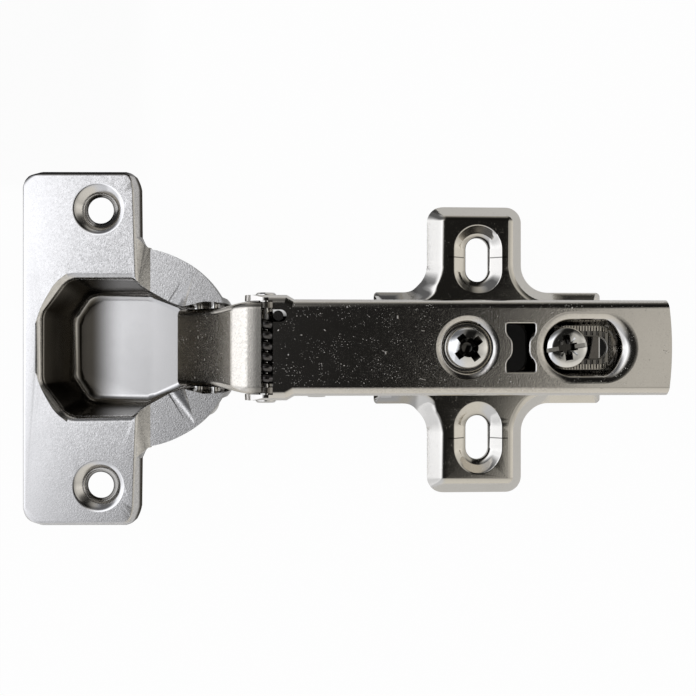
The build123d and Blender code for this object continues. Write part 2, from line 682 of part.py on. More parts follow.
# Fixing screw, through the arm's slot into the plate's tapped collar
fixing_seat_z = arm_top_z - rear_dish_depth + fixing_play
with BuildPart() as fixing_screw:
    with Locations((fixing_x, 0, fixing_seat_z)):
        Cylinder(fixing_head_r, fixing_head, align=(Align.CENTER, Align.CENTER, Align.MIN))
    chamfer(fixing_screw.edges().group_by(Axis.Z)[0], fixing_chamfer)
    fillet(fixing_screw.edges().group_by(Axis.Z)[-1], fixing_head * 0.15)
    with BuildSketch(Plane.XY.offset(fixing_end_z)):
        with Locations((fixing_x, 0)):
            Circle(fixing_r)
    extrude(amount=fixing_seat_z + 0.5 - fixing_end_z)
    chamfer(fixing_screw.edges().group_by(Axis.Z)[0], fixing_r * 0.3)
    with BuildSketch(Plane.XY.offset(fixing_seat_z + fixing_head)):
        with Locations(Location((fixing_x, 0), fixing_slot_turn)):
            Rectangle(1.84 * fixing_head_r, recess_width)
            Rectangle(recess_width, 1.1 * fixing_head_r)
    extrude(amount=-recess_depth, mode=Mode.SUBTRACT)
fixing_screw.part.label = "fixing_screw"
export_step(fixing_screw.part, "parts/fixing_screw.step")


def plate_blank(inset, convex, neck):
    """Outline of the mounting plate, drawn in by an inset: the foot with a wing on each side."""
    foot_middle = (foot_front_x + foot_rear_x) / 2
    with BuildSketch() as blank:
        with Locations((foot_middle, 0)):
            Rectangle(foot_rear_x - foot_front_x - 2 * inset, 2 * (foot_half - inset))
        Rectangle(wing_width - 2 * inset, 2 * (wing_half - inset))
        necks = blank.vertices().filter_by(
            lambda v: abs(abs(v.X) - wing_width / 2 + inset) < 0.01
            and abs(abs(v.Y) - foot_half + inset) < 0.01)
        fillet(necks, neck)
        wing_ends = blank.vertices().filter_by(lambda v: abs(abs(v.Y) - wing_half + inset) < 0.01)
        fillet(wing_ends, convex)
        foot_ends = blank.vertices().filter_by(
            lambda v: abs(abs(v.X - foot_middle) - (foot_rear_x - foot_front_x) / 2 + inset) < 0.01)
        fillet(foot_ends, convex * foot_corner / wing_corner)
    return blank.sketch


# Mounting plate: a cross of one sheet with turned-down rims and a hat drawn up under the arm
hollow_rise = plate_rise - plate_sheet
hollow_inset = plate_sheet / cos(radians(plate_rim_lean))
plate_slots = [(0, side * plate_screw_spacing / 2) for side in (-1, 1)]
hat_middle = (hat_front_x + hat_rear_x) / 2
hat_length = hat_rear_x - hat_front_x
with BuildPart() as mounting_plate:
    with BuildSketch():
        add(plate_blank(0, wing_corner, wing_neck))
    extrude(amount=plate_rise, taper=plate_rim_lean)
    fillet(mounting_plate.edges().group_by(Axis.Z)[-1], plate_round)
    with BuildSketch():
        add(plate_blank(hollow_inset, wing_corner - plate_sheet, wing_neck + hollow_inset))
    extrude(amount=hollow_rise, taper=plate_rim_lean, mode=Mode.SUBTRACT)
    with BuildSketch(Plane.XY.offset(hollow_rise / 2)):
        with Locations((hat_middle, 0)):
            RectangleRounded(hat_length, 2 * hat_half, hat_corner)
    extrude(amount=hat_top_z - hollow_rise / 2, taper=hat_lean)
    with BuildSketch():
        with Locations((hat_middle, 0)):
            RectangleRounded(hat_length - 2 * plate_sheet, 2 * (hat_half - plate_sheet),
                             hat_corner - plate_sheet)
    extrude(amount=hat_top_z - plate_sheet, taper=hat_lean, mode=Mode.SUBTRACT)
    # Tapped collar of the fixing screw and keyhole slot of the foot
    with BuildSketch(Plane.XY.offset(collar_z)):
        with Locations((fixing_x, 0)):
            Circle(fixing_r + shoulder_play + plate_sheet * 0.8)
    extrude(amount=hat_top_z - plate_sheet / 2 - collar_z)
    with BuildSketch(Plane.XY.offset(collar_z - 1)):
        with Locations((fixing_x, 0)):
            Circle(fixing_r + shoulder_play)
        with Locations((keyhole_x, 0)):
            RectangleRounded(keyhole_length, keyhole_width, keyhole_corner)
        with Locations(((keyhole_front_x + keyhole_x) / 2, 0)):
            SlotOverall(keyhole_x - keyhole_front_x, keyhole_slot)
    extrude(amount=hat_top_z, mode=Mode.SUBTRACT)
    # Bosses and sloped seats of the two screw slots
    with BuildSketch():
        with Locations(*plate_slots):
            SlotOverall(slot_length + 2 * seat_rim, slot_width + 2 * seat_rim, rotation=90)
    extrude(amount=plate_rise - plate_sheet / 2)
    with BuildSketch(Plane.XY.offset(plate_rise)):
        with Locations(*plate_slots):
            SlotOverall(slot_length + 2 * seat_rim, slot_width + 2 * seat_rim, rotation=90)
    extrude(amount=seat_floor_z - plate_rise, mode=Mode.SUBTRACT,
            taper=degrees(atan2(seat_rim - seat_ledge, plate_rise - seat_floor_z)))
    seats = mounting_plate.edges().filter_by(
        lambda edge: abs(edge.center().Z - plate_rise) < 0.01
        and abs(abs(edge.center().Y) - plate_screw_spacing / 2) < slot_length / 2 + seat_rim + 0.1
        and abs(edge.center().X) < slot_width / 2 + seat_rim + 0.1)
    fillet(seats, seat_round)
    with BuildSketch():
        with Locations(*plate_slots):
            SlotOverall(slot_length, slot_width, rotation=90)
    extrude(amount=plate_rise, mode=Mode.SUBTRACT)
mounting_plate.part.label = "mounting_plate"
export_step(mounting_plate.part, "parts/mounting_plate.step")
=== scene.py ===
# %% [markdown]
# # A concealed cabinet hinge
#
# The imported model is loaded first. It is the frame of this scene: every piece that is added
# later takes its place from it, and the solids that already have the right shape are kept and
# only given a better finish. The box of the loaded model is kept, and the floor is placed under it.

# %% Load the frame
import math

import bpy
from mathutils import Matrix, Vector


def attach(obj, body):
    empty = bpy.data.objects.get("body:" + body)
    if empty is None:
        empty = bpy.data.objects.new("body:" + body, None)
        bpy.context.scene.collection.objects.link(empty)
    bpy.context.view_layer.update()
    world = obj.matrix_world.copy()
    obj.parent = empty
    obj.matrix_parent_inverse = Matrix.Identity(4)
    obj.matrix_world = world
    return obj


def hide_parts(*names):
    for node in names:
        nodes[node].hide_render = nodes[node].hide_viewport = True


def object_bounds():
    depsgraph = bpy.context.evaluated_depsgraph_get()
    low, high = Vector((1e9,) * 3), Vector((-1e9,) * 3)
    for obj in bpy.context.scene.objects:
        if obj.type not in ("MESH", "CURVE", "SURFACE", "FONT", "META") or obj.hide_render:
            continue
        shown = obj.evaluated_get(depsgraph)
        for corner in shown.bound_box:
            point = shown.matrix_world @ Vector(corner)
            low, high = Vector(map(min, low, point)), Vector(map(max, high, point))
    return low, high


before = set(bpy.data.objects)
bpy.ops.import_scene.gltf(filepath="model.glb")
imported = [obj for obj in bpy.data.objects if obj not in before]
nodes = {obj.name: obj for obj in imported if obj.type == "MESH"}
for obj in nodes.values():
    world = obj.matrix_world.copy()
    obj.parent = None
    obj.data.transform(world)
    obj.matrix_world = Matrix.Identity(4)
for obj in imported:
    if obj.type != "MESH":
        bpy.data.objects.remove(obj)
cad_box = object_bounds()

MM = 0.001
print("nodes:", sorted(nodes))

# %% [markdown]
# ## Camera
#
# The photograph was taken from straight above the cup, about 180 mm away, by a lens that is a
# little longer than normal. The cup leans back three degrees when the hinge is fully open, and
# the camera looks square at the cup, so it is turned by the same three degrees about Y.

# %% Camera
open_lean = math.radians(3.0)
focal_px = 972.0                      # focal length, in pixels of the 696 pixel picture
picture_px = 696.0
camera_along = -23.45 * MM            # along the cup's face, from the frame's origin
camera_across = -0.06 * MM
camera_height = 178.1 * MM            # out from the cup's face

cup_across = Vector((math.cos(open_lean), 0, math.sin(open_lean)))
cup_out = Vector((-math.sin(open_lean), 0, math.cos(open_lean)))

camera_data = bpy.data.cameras.new("camera")
camera_data.sensor_width = 36.0
camera_data.lens = focal_px / picture_px * camera_data.sensor_width
camera_data.clip_start = 0.01
camera_data.clip_end = 10.0
camera = bpy.data.objects.new("camera", camera_data)
bpy.context.scene.collection.objects.link(camera)
camera.location = (cup_across * camera_along + cup_out * camera_height
                   + Vector((0, camera_across, 0)))
camera.rotation_euler = (0, -open_lean, 0)
bpy.context.scene.camera = camera
print("camera at", [round(c / MM, 1) for c in camera.location], "mm, lens",
      round(camera_data.lens, 1))

# %% [markdown]
# ## Shader maths in plain Python
#
# A material is a small network of nodes. Written node by node it is long and hard to read, so
# one class wraps a socket and lets Python's own operators add the Math nodes. Every other node
# comes from one method, `node`, which sets the node's options first and then its inputs.

# %% Socket wrapper
class Socket:
    """A value in a node tree that can be added, multiplied and so on."""

    def __init__(self, tree, socket):
        self.tree, self.socket = tree, socket

    def node(self, kind, options=None, inputs=None, output=0):
        return make_node(self.tree, kind, options, inputs, output)

    def math(self, operation, *others):
        inputs = {i: v for i, v in enumerate((self,) + others)}
        return self.node("ShaderNodeMath", {"operation": operation}, inputs)

    def __add__(self, other): return self.math("ADD", other)
    def __radd__(self, other): return self.math("ADD", other)
    def __sub__(self, other): return self.math("SUBTRACT", other)
    def __mul__(self, other): return self.math("MULTIPLY", other)
    def __pow__(self, other): return self.math("POWER", other)

    def __rsub__(self, other):
        return self.node("ShaderNodeMath", {"operation": "SUBTRACT"}, {0: other, 1: self})

    def clamp(self, low=0.0, high=1.0):
        return self.math("MAXIMUM", low).math("MINIMUM", high)

    def step(self, low, high):
        """0 below low, 1 above high, smooth between them."""
        return self.node("ShaderNodeMapRange", {"interpolation_type": "SMOOTHSTEP"},
                         {"Value": self, "From Min": low, "From Max": high})


def make_node(tree, kind, options=None, inputs=None, output=0):
    """Adds a node, sets its options and its inputs, and returns one of its outputs, wrapped."""
    node = tree.nodes.new(kind)
    for name, value in (options or {}).items():
        if name == "stops":
            ramp = node.color_ramp
            while len(ramp.elements) < len(value):
                ramp.elements.new(0.5)
            for element, (place, colour) in zip(ramp.elements, value):
                element.position, element.color = place, colour
        else:
            setattr(node, name, value)
    for name, value in (inputs or {}).items():
        if isinstance(value, Socket):
            tree.links.new(value.socket, node.inputs[name])
        else:
            node.inputs[name].default_value = value
    return Socket(tree, node.outputs[output])


def new_material(name):
    """An empty node material: its tree, its Object coordinates and its shader node."""
    material = bpy.data.materials.new(name)
    material.use_nodes = True
    tree = material.node_tree
    tree.nodes.clear()
    where = make_node(tree, "ShaderNodeTexCoord", output="Object")
    shader = tree.nodes.new("ShaderNodeBsdfPrincipled")
    out = tree.nodes.new("ShaderNodeOutputMaterial")
    tree.links.new(shader.outputs[0], out.inputs["Surface"])
    return material, tree, where, shader


def plug(tree, shader, name, value):
    """Links a wrapped value to a socket of the shader, or sets it."""
    if isinstance(value, Socket):
        tree.links.new(value.socket, shader.inputs[name])
    else:
        shader.inputs[name].default_value = value


print("shader helpers ready")

# %% [markdown]
# ## Grain, pits and scratches
#
# Three small patterns make up nearly every metal surface here. Tumbled sheet sparkles because it
# is made of tiny patches that each lean and shine a little differently. A Voronoi texture gives
# every patch a random number. Dust and pits are the rare high spots of a fine noise. A scratch is
# a piece of the thin line between two large Voronoi cells, kept only where a second noise is high.

# %% Patterns
def noise(tree, where, scale, detail=2.0, roughness=0.55):
    return make_node(tree, "ShaderNodeTexNoise", {"noise_dimensions": "3D"},
                     {"Vector": where, "Scale": scale, "Detail": detail, "Roughness": roughness})


def patches(tree, where, scale):
    """A random number from 0 to 1 for each small patch."""
    colour = make_node(tree, "ShaderNodeTexVoronoi", {"feature": "F1"},
                       {"Vector": where, "Scale": scale, "Randomness": 1.0}, output="Color")
    return make_node(tree, "ShaderNodeSeparateColor", None, {0: colour})


def scratches(tree, where):
    lines = make_node(tree, "ShaderNodeTexVoronoi", {"feature": "DISTANCE_TO_EDGE"},
                      {"Vector": where, "Scale": 300.0, "Randomness": 1.0})
    return (1.0 - lines.step(0.006, 0.022)) * noise(tree, where, 800.0, 1.0).step(0.68, 0.72)


def place(tree, where, axis):
    return make_node(tree, "ShaderNodeSeparateXYZ", None, {0: where}, output=axis)


def mix_colour(tree, factor, first, second):
    return make_node(tree, "ShaderNodeMix", {"data_type": "RGBA"},
                     {"Factor": factor, "A": first, "B": second}, output="Result")


print("patterns ready")

# %% [markdown]
# ## Nickel plate
#
# Every sheet of the hinge is steel with a bright nickel plate over it. What differs is the
# surface below the plate: the flange and the wings are satin, while the arm, the mounting plate
# and the outer link are close to a mirror. One function makes them all, from a roughness, a grain
# and a number of specks, so that the pieces belong together. Two more inputs say where the grain
# is strong, and where a darker colour is painted over the plate, mostly as painted shade.

# %% Nickel material
def nickel(name, colour, rough, grain=0.0, specks=0.0, where_grainy=None, painted_shade=None):
    """Nickel plate. where_grainy gives 0 to 1, the last input a painted shade and where it lies, 0
    to 1.
    """
    material, tree, where, shader = new_material(name)
    clouds = noise(tree, where, 150.0, 4.0)
    patch = patches(tree, where, 6200.0)
    coarse = patches(tree, where, 3100.0)
    fine = noise(tree, where, 3800.0, 3.0, 0.7)
    amount = where_grainy(tree, where) * grain if where_grainy else grain
    dust = noise(tree, where, 4600.0, 2.0).step(0.66, 0.76)
    dusty_areas = noise(tree, where, 500.0, 1.0).step(0.42, 0.62)
    speck = (dust * dusty_areas + scratches(tree, where) * 0.7).clamp() * specks
    shade = ((patch * 0.6 + coarse * 0.4) * amount + (clouds - 0.4) * 0.25).clamp()
    base = mix_colour(tree, shade, (*colour, 1.0), (*[c * 0.6 for c in colour], 1.0))
    # A darker colour painted over the base, mostly as painted shade.
    if painted_shade:
        dark, mask = painted_shade(tree, where)
        base = mix_colour(tree, mask, base, dark)
    plug(tree, shader, "Base Color", base)
    plug(tree, shader, "Metallic", 1.0)
    rare = patch.step(0.82, 0.95) * amount
    uneven = (clouds - 0.5) * 0.06 + (coarse - 0.5) * amount * 0.12 + rare * 0.15 + speck * 0.35
    plug(tree, shader, "Roughness", (rough + uneven).clamp(0.03, 0.9))
    bump = make_node(tree, "ShaderNodeBump", None,
                     {"Strength": 1.0, "Distance": 0.00002,
                      "Height": (fine - 0.5) * amount * 1.3 + speck * 0.9 + (clouds - 0.5) * 0.1})
    plug(tree, shader, "Normal", bump)
    return material


print("nickel ready")

# %% [markdown]
# ## Shared measures
#
# Several cells need the same few places: the cup's centre, the holes for the door's screws, the
# axes of the two screws on the arm, and the heights of the arm's top, its screws and its dishes.

# %% Shared measures
cup_centre = Vector((-61.0 * MM, 0, 4.5 * MM))
flange_top = 2.2                      # mm out from the cup's centre
face_level = cup_centre.dot(cup_out) + flange_top * MM
hole_along, hole_across = -6.0, 24.0  # mm from the cup's centre, along its face and across it
hole_x = cup_centre.x + cup_across.x * hole_along * MM
front_axis, rear_axis = (-3.7 * MM, 0.0), (13.6 * MM, 0.0)
front_top, rear_top = 13.7, 12.35     # the tops of the two screws' heads, in mm
arm_top, dish_floor = 12.8, 9.8       # mm
print("measures ready")

# %% [markdown]
# ## Where the finish changes, and where shade is painted
#
# The flange is smoother at its far edge than round the holes. The arm is polished at its ends and
# grainy between. Inside the pocket the walls and floor are painted a near-black brown as shade, but
# for the right part of its floor, and a lighter line there stands in for a highlight. A dark line
# of painted shade lies along the flange's upper end. Painted shade also darkens the rear dish and
# its slot, the rolled nose of the outer link, and most of all the mounting plate's hat, which hides
# under the arm. The plate's front end is darker too, and a short dark line is drawn beside each of
# the plate's slots.

# %% Masks
def below_face(tree, where):
    """How deep a place lies under the top of the flange."""
    return face_level - make_node(tree, "ShaderNodeVectorMath", {"operation": "DOT_PRODUCT"},
                                  {0: where, 1: cup_out}, output="Value")


def grainy_flange(tree, where):
    ramp = place(tree, where, "X").step(-82.0 * MM, -64.0 * MM) * 0.88 + 0.12
    sheet = 1.0 - below_face(tree, where).step(1.4 * MM, 2.6 * MM)
    hole = place(tree, where, "Y").math("ABSOLUTE") - hole_across * MM
    from_hole = (hole * hole + (place(tree, where, "X") - hole_x) ** 2.0).math("SQRT")
    return ramp * (sheet * 0.9 + 0.1) * from_hole.step(4.0 * MM, 4.3 * MM)


def grainy_arm(tree, where):
    along = place(tree, where, "X")
    level = place(tree, where, "Z").step(12.2 * MM, 12.7 * MM)
    middle = along.step(-34.0 * MM, -16.0 * MM) * (1.0 - along.step(8.0 * MM, 22.0 * MM))
    return (middle * 0.85 + 0.15) * level


# Painted shade inside the cup's pocket: a near-black brown over its walls and floor, left off the
# right part of the floor.
def pocket_painted_shade(tree, where):
    depth = below_face(tree, where)
    along, across = place(tree, where, "X"), place(tree, where, "Y")
    unshaded_floor = depth.step(9.0 * MM, 12.6 * MM) * along.step(-71.2 * MM, -65.0 * MM)
    # Along the floor's rounded edge the painted shade is halved, a lighter line that stands in for
    # a highlight.
    painted_highlight_line = 1.0 - (depth - 12.9 * MM).math("ABSOLUTE").step(0.15 * MM, 0.4 * MM)
    mask = depth.step(1.2 * MM, 1.8 * MM) * (1.0 - unshaded_floor) * (1.0 - painted_highlight_line * 0.5)
    low_end = (depth.step(5.0 * MM, 10.0 * MM) * (1.0 - depth.step(12.9 * MM, 13.2 * MM))
               * (1.0 - across.math("ABSOLUTE").step(8.0 * MM, 10.5 * MM)))
    # A thin dark line of painted shade along the flange's upper end.
    far_edge_shade = across.step(29.7 * MM, 29.9 * MM) * along.step(-80.0 * MM, -77.5 * MM)
    painted_dark = (mask * (0.975 - low_end * 0.3)).math("MAXIMUM", far_edge_shade * 0.85)
    return (0.045, 0.038, 0.027, 1.0), painted_dark


# Painted shade on the mounting plate's hat, under the arm. Its front end is darker too, and a thin
# dark line is drawn beside each slot.
def plate_painted_shade_and_lines(tree, where):
    along, across = place(tree, where, "X"), place(tree, where, "Y").math("ABSOLUTE")
    hat = place(tree, where, "Z").step(5.0 * MM, 6.5 * MM)
    slot_line = ((1.0 - (across - 16.4 * MM).math("ABSOLUTE").step(0.06 * MM, 0.14 * MM))
            * (along.math("ABSOLUTE") - 3.9 * MM).math("ABSOLUTE").math("LESS_THAN", 1.5 * MM))
    front_end = 1.0 - along.step(-11.5 * MM, -10.5 * MM)
    return (0.05, 0.045, 0.04, 1.0), (hat * 0.95 + slot_line * 0.8 + front_end * 0.45).clamp()


# Painted shade on the walls and floor of the rear dish and on the clamping slot's wall.
def dish_painted_shade(tree, where):
    along, across = place(tree, where, "X"), place(tree, where, "Y").math("ABSOLUTE")
    low = 1.0 - place(tree, where, "Z").step(11.4 * MM, 12.2 * MM)
    dish = along.step(7.0 * MM, 9.0 * MM) * (1.0 - along.step(20.5 * MM, 24.0 * MM))
    slot_wall = 1.0 - place(tree, where, "Z").step(9.3 * MM, 9.7 * MM)
    inside = dish * (1.0 - across.step(5.6 * MM, 5.8 * MM))
    return (0.06, 0.056, 0.047, 1.0), (low * 0.78 + slot_wall * 0.2) * inside


# Painted shade on the rolled nose of the outer link, next to the rivet.
def nose_painted_shade(tree, where):
    along = place(tree, where, "X")
    return (0.06, 0.056, 0.047, 1.0), along.step(-41.2 * MM, -39.2 * MM) * 0.72


def recess_painted_shade(centre, top, crown, full_depth):
    """Painted shade that gets darker with the depth under a screw's crowned head."""
    def painted_dark(tree, where):
        along, across = place(tree, where, "X") - centre[0], place(tree, where, "Y") - centre[1]
        radius = (along * along + across * across).math("SQRT")
        depth = top * MM - radius * radius * (crown / MM) - place(tree, where, "Z")
        inside = 1.0 - radius.step(3.1 * MM, 3.3 * MM)
        return (0.05, 0.048, 0.043, 1.0), depth.step(0.1 * MM, full_depth * MM) * inside * 0.97
    return painted_dark


satin_nickel = nickel("satin_nickel", (0.78, 0.76, 0.73), 0.2, grain=0.75,
                      where_grainy=grainy_flange, painted_shade=pocket_painted_shade)
bright_nickel = nickel("bright_nickel", (0.74, 0.71, 0.66), 0.1, grain=0.5, specks=1.0,
                       where_grainy=grainy_arm, painted_shade=dish_painted_shade)
plate_nickel = nickel("plate_nickel", (0.74, 0.71, 0.65), 0.07, grain=0.1, specks=0.3,
                      painted_shade=plate_painted_shade_and_lines)
link_nickel = nickel("link_nickel", (0.84, 0.79, 0.7), 0.18, grain=0.45, specks=0.8,
                     painted_shade=nose_painted_shade)
zinc_screw = nickel("zinc_screw", (0.86, 0.85, 0.82), 0.08, grain=0.1, specks=0.2)
front_zinc = nickel("front_zinc", (0.86, 0.85, 0.82), 0.08, grain=0.1, specks=0.2,
                    painted_shade=recess_painted_shade(front_axis, front_top, 0.05, 0.45))
rear_zinc = nickel("rear_zinc", (0.86, 0.85, 0.82), 0.08, grain=0.1, specks=0.2,
                   painted_shade=recess_painted_shade(rear_axis, rear_top, 0.012, 1.1))
pin_steel = nickel("pin_steel", (0.72, 0.70, 0.66), 0.12, grain=0.15)
spring_wire = nickel("spring_wire", (0.12, 0.115, 0.11), 0.22, grain=0.2)
print("metals made:", len(bpy.data.materials))

# %% [markdown]
# ## Finishes of the solids
#
# The solids keep their own meshes. Each takes the finish of the real piece.

# %% Put the finishes on
finishes = {
    "hinge_cup": satin_nickel, "cup_pin": pin_steel, "outer_link": link_nickel,
    "inner_link": link_nickel, "hinge_arm": bright_nickel, "front_rivet": pin_steel,
    "rear_rivet": pin_steel, "torsion_spring": spring_wire, "adjusting_screw": zinc_screw,
    "screw_foot": zinc_screw, "fixing_screw": zinc_screw, "mounting_plate": plate_nickel,
}
for name, material in finishes.items():
    node = nodes[name]
    node.data.materials.clear()
    node.data.materials.append(material)
print("finishes on", len(finishes), "nodes")

# %% [markdown]
# ## Screws
#
# The two screws are what a hand goes to, and their heads are the brightest, most detailed spots of
# the arm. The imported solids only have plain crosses, so both screws are made again, inside the
# same outlines. A screw's body is a profile spun round its axis. Its thread is a small triangle
# spun the same way while it climbs, one pitch a turn. The driver recess is cut out of the head by
# a second mesh: wedges that narrow with depth, and for the star a thinner pair between them.

# %% Mesh helpers
import bmesh


def finish_mesh(bm, name, material, body, replaced):
    """Makes an object of a bmesh, shades it, and fits it to a body in place of a node."""
    bmesh.ops.remove_doubles(bm, verts=bm.verts, dist=1e-7)
    bmesh.ops.recalc_face_normals(bm, faces=bm.faces)
    mesh = bpy.data.meshes.new(name)
    bm.to_mesh(mesh)
    bm.free()
    piece = bpy.data.objects.new(name, mesh)
    bpy.context.scene.collection.objects.link(piece)
    mesh.materials.append(material)
    mesh.shade_smooth()
    mesh.set_sharp_from_angle(angle=math.radians(32))
    even = piece.modifiers.new("even_shading", "WEIGHTED_NORMAL")
    even.keep_sharp = True
    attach(piece, body)
    if replaced:
        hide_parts(replaced)
    return piece


def lathe(bm, centre, profile, steps=72, closed=False):
    """Spins a profile of (radius, height) points, in mm, round a vertical axis."""
    points = [bm.verts.new((centre[0] + r * MM, centre[1], z * MM)) for r, z in profile]
    edges = [bm.edges.new(pair) for pair in zip(points, points[1:] + points[:1 if closed else 0])]
    bmesh.ops.spin(bm, geom=points + edges, cent=(centre[0], centre[1], 0), axis=(0, 0, 1),
                   angle=2 * math.pi, steps=steps, use_merge=True)


def thread(bm, centre, root, crest, low, high, pitch, steps=24):
    """A helical ridge from low to high, its two ends closed. Its foot is sunk in the shank."""
    half, foot = pitch * 0.42, root - 0.08
    points = [bm.verts.new((centre[0] + r * MM, centre[1], (low + z) * MM))
              for r, z in ((foot, 0), (crest, half), (foot, 2 * half))]
    loop = [bm.edges.new(pair) for pair in zip(points, points[1:] + points[:1])]
    bm.faces.new(points)
    turns = (high - low) / pitch - 1
    count = int(turns * steps)
    made = bmesh.ops.spin(bm, geom=points + loop, cent=(centre[0], centre[1], 0), axis=(0, 0, 1),
                          angle=2 * math.pi * count / steps, steps=count,
                          dvec=(0, 0, pitch * MM / steps))
    end = [edge for edge in made["geom_last"] if isinstance(edge, bmesh.types.BMEdge)]
    bmesh.ops.contextual_create(bm, geom=end)


def rotate(bm, verts, angle, axis):
    """Turns some vertices about an axis through the origin."""
    bmesh.ops.rotate(bm, verts=verts, cent=(0, 0, 0), matrix=Matrix.Rotation(angle, 3, axis))


def wedge(bm, centre, turn, length, width, top, depth, shrink):
    """A bar across the axis, from above the top down. It narrows and shortens with depth."""
    above, narrow = 0.5, 0.7
    made = bmesh.ops.create_cube(bm, size=1.0)["verts"]
    for vert in made:
        low = vert.co.z < 0
        vert.co = Vector((vert.co.x * length * (shrink if low else 1.0),
                          vert.co.y * width * (narrow if low else 1.0),
                          top - depth if low else top + above)) * MM
    rotate(bm, made, math.radians(turn), "Z")
    bmesh.ops.translate(bm, verts=made, vec=(centre[0], centre[1], 0))


def carve(bm, cutters):
    """Cuts each of the cutter meshes out of a bmesh and returns the result."""
    def loose(mesh_data, name):
        mesh = bpy.data.meshes.new(name)
        mesh_data.to_mesh(mesh)
        mesh_data.free()
        return bpy.data.objects.new(name, mesh)

    body = loose(bm, "carved")
    bpy.context.scene.collection.objects.link(body)
    tools = []
    for number, cutter in enumerate(cutters):
        tool = loose(cutter, "tool_%d" % number)
        bpy.context.scene.collection.objects.link(tool)
        cut = body.modifiers.new("cut", "BOOLEAN")
        cut.operation, cut.object, cut.solver = "DIFFERENCE", tool, "EXACT"
        tools.append(tool)
    bpy.context.view_layer.update()
    done = bmesh.new()
    done.from_mesh(body.evaluated_get(bpy.context.evaluated_depsgraph_get()).to_mesh())
    for thing in [body] + tools:
        bpy.data.objects.remove(thing)
    return done


print("mesh helpers ready")

# %% [markdown]
# ## Edges of the cup and the plate
#
# The sheet's turned-down edges are tighter in the photograph than on the solids, and the mouth of
# the pocket and the plate reach a little further out. Both solids are redrawn with those edges
# moved, the cup's by up to 1.7 mm and the plate's by up to 0.75 mm. The flange's corners are
# rounded a little more. Each move fades out before it reaches a hole, a slot or a link.

# %% Tighter edges
def fade(value, start, end):
    """0 at start, 1 at end and beyond, smooth between them."""
    t = min(max((value - start) / (end - start), 0.0), 1.0)
    return t * t * (3 - 2 * t)


def bent(value, *pairs):
    """Straight lines through pairs of (from, to)."""
    for (a, to_a), (b, to_b) in zip(pairs, pairs[1:]):
        if value <= b:
            return to_a + (value - a) * (to_b - to_a) / (b - a)
    return to_b


def reshaped(node, name, move, material, body):
    bm = bmesh.new()
    bm.from_mesh(nodes[node].data)
    for vert in bm.verts:
        vert.co = move(vert.co)
    return finish_mesh(bm, name, material, body, node)


# Where the cup's edges lie on the solid and where they go, in mm from the cup's centre
left_edge = ((-25, -26), (-18.7, -19.75), (-17.2, -18.9), (-15.74, -16.75),
             (-14.26, -15.4), (-13.0, -13.9), (-10.6, -10.6))
upper_end = ((26, 26), (29.1, 30.1), (30.6, 30.8), (32, 32))
lower_end = ((26, 26), (29.1, 30.35), (30.6, 31.1), (32, 32))
flange_half = 30.6
flange_corners = ((-1, 19.1, 2.7), (1, 1.6, 3.3))    # side, reach and radius
hole_keep = 4.6                                       # nothing moves this near a hole's axis
lip_out, notch_left, corner_in = 0.85, 0.7, 0.2


def cup_edges(co):
    from_centre = (co - cup_centre) / MM
    u, y, w = from_centre.dot(cup_across), from_centre.y, from_centre.dot(cup_out)
    height = fade(w, -10.0, flange_top)
    if u < left_edge[-1][0]:
        u += (bent(u, *left_edge) - u) * height
    if abs(y) > 26 and math.hypot(u - hole_along, abs(y) - hole_across) > hole_keep:
        y = bent(y, *upper_end) if y > 0 else -bent(-y, *lower_end)
    outward = fade(abs(y), 8.0, 11.0) * (1 - fade(abs(y), 14.0, 18.5)) * (1 - fade(u, -1.0, 1.5))
    y += math.copysign(lip_out * height * outward, y)
    u -= notch_left * fade(u, -1.0, 1.2) * fade(abs(y), 17.5, 19.6) * (1 - fade(u, 2.0, 3.0))
    for side, reach, radius in flange_corners:
        over_u, over_y = side * u - (reach - radius), abs(y) - (flange_half - radius)
        if over_u > 0 and over_y > 0:
            shrink = corner_in * over_u * over_y / radius ** 2
            u -= side * over_u * shrink
            y -= math.copysign(over_y * shrink, y)
    return cup_centre + (cup_across * u + cup_out * w + Vector((0, y, 0))) * MM


def plate_edges(co):
    left_out, wing_down, tip_down = 0.75, 0.3, 0.45
    x, y, z = co / MM
    x -= left_out * fade(-x, 4.3, 6.5) * fade(abs(y), 9.5, 11.5)
    y -= wing_down * fade(-y, 9.0, 12.0) + tip_down * fade(-y, 19.5, 23.5)
    return Vector((x, y, z)) * MM


cup_shell = reshaped("hinge_cup", "cup_shell", cup_edges, satin_nickel, "cup")
cross_plate = reshaped("mounting_plate", "cross_plate", plate_edges, plate_nickel,
                       "plate")
print("edges moved on", cup_shell.name, "and", cross_plate.name)

# %% [markdown]
# ## Adjusting screw
#
# The front screw sets the arm's tilt. Its domed head has a deep cross with four wide wings, and
# below the arm a neck is riveted under the sliding foot.

# %% Adjusting screw
head = bmesh.new()
lathe(head, front_axis, [(0, front_top), (1.3, 13.66), (2.3, 13.5), (3.0, 13.22), (3.42, 12.88),
                         (3.58, 12.6), (3.6, 12.45), (3.6, 12.05), (3.52, 11.92), (3.4, 11.9),
                         (2.12, 11.9), (2.12, 8.75), (2.05, 8.7), (1.3, 8.7), (1.3, 5.75),
                         (1.9, 5.72), (1.9, 5.5), (1.55, 5.25), (0.9, 5.2), (0, 5.2)])
bmesh.ops.remove_doubles(head, verts=head.verts, dist=1e-7)
bmesh.ops.recalc_face_normals(head, faces=head.faces)
recess = []
for turn in (37, 127):
    cutter = bmesh.new()
    wedge(cutter, front_axis, turn, 6.2, 1.5, front_top, 2.0, shrink=0.45)
    recess.append(cutter)
cone = bmesh.new()
lathe(cone, front_axis, [(0, 11.3), (0.9, 11.5), (1.75, 13.9), (0, 14.3)], steps=24)
bmesh.ops.recalc_face_normals(cone, faces=cone.faces)
recess.append(cone)
adjusting = carve(head, recess)
